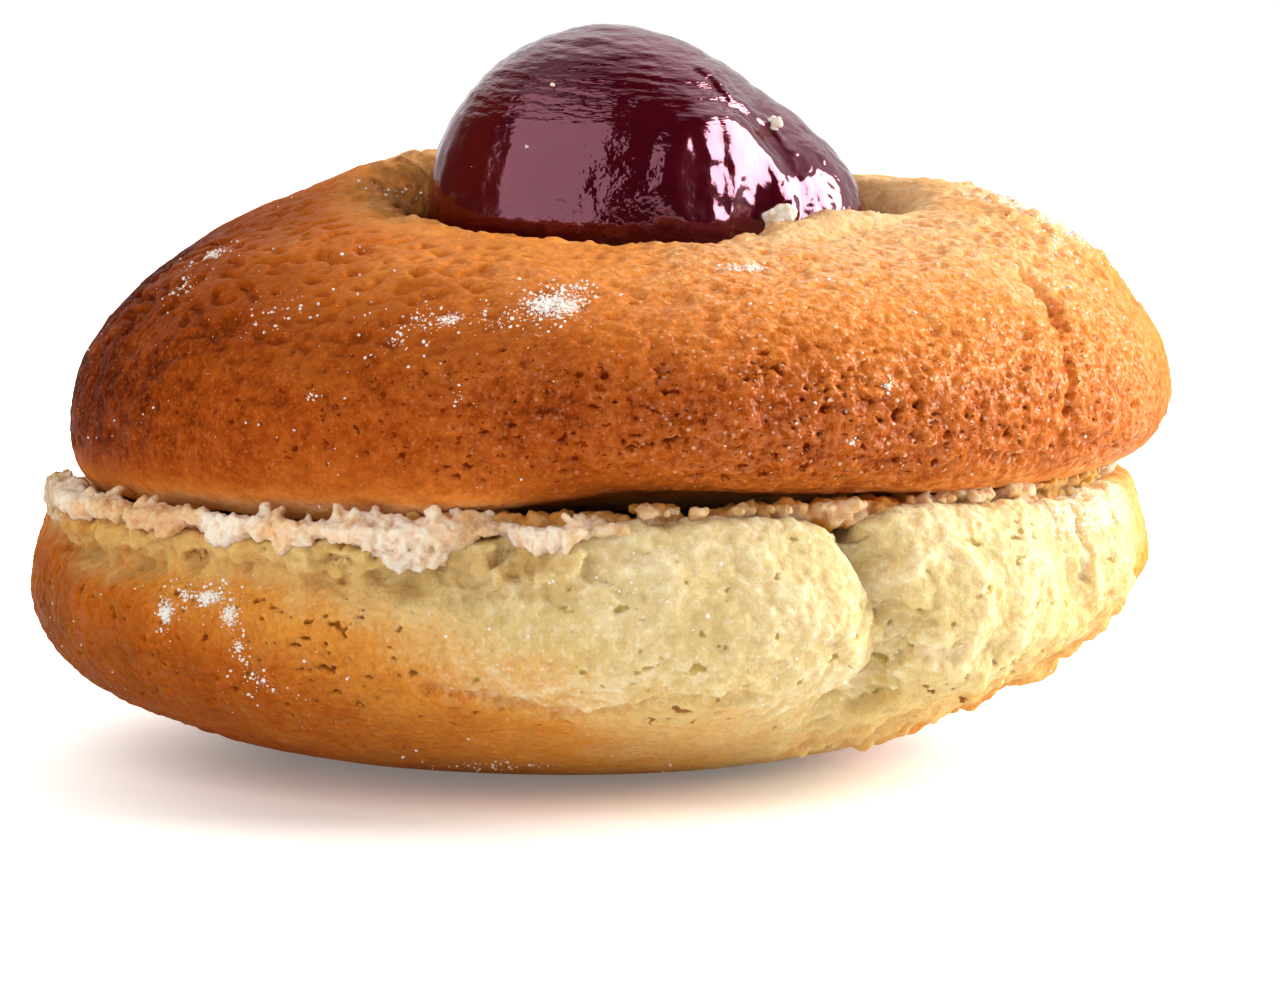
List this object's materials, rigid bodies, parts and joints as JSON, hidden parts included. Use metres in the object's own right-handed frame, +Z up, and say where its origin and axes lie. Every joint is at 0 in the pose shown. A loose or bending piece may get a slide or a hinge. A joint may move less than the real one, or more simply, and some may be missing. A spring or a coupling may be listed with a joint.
{
  "type": "almond biscuit sandwich with candied cherry",
  "caption": "Round, cracked, soft almond biscuit sandwich: domed halves laid base to base, with a candied cherry pressed into the top.",
  "frame": {"origin": "on the surface that it stands on, under the middle of the whole biscuit", "axes": "+Z up; +X to the right in the picture and -Y towards its camera"},
  "size_m": [0.0594, 0.058, 0.0377],
  "materials": {
    "crust": "baked, finely pitted",
    "crumb": "baked, crumbly",
    "cherry": "glossy, sugared"
  },
  "bodies": {
    "root": {"top_biscuit": "crust", "bottom_biscuit": "crumb", "cherry": "cherry"}
  },
  "joints": []
}
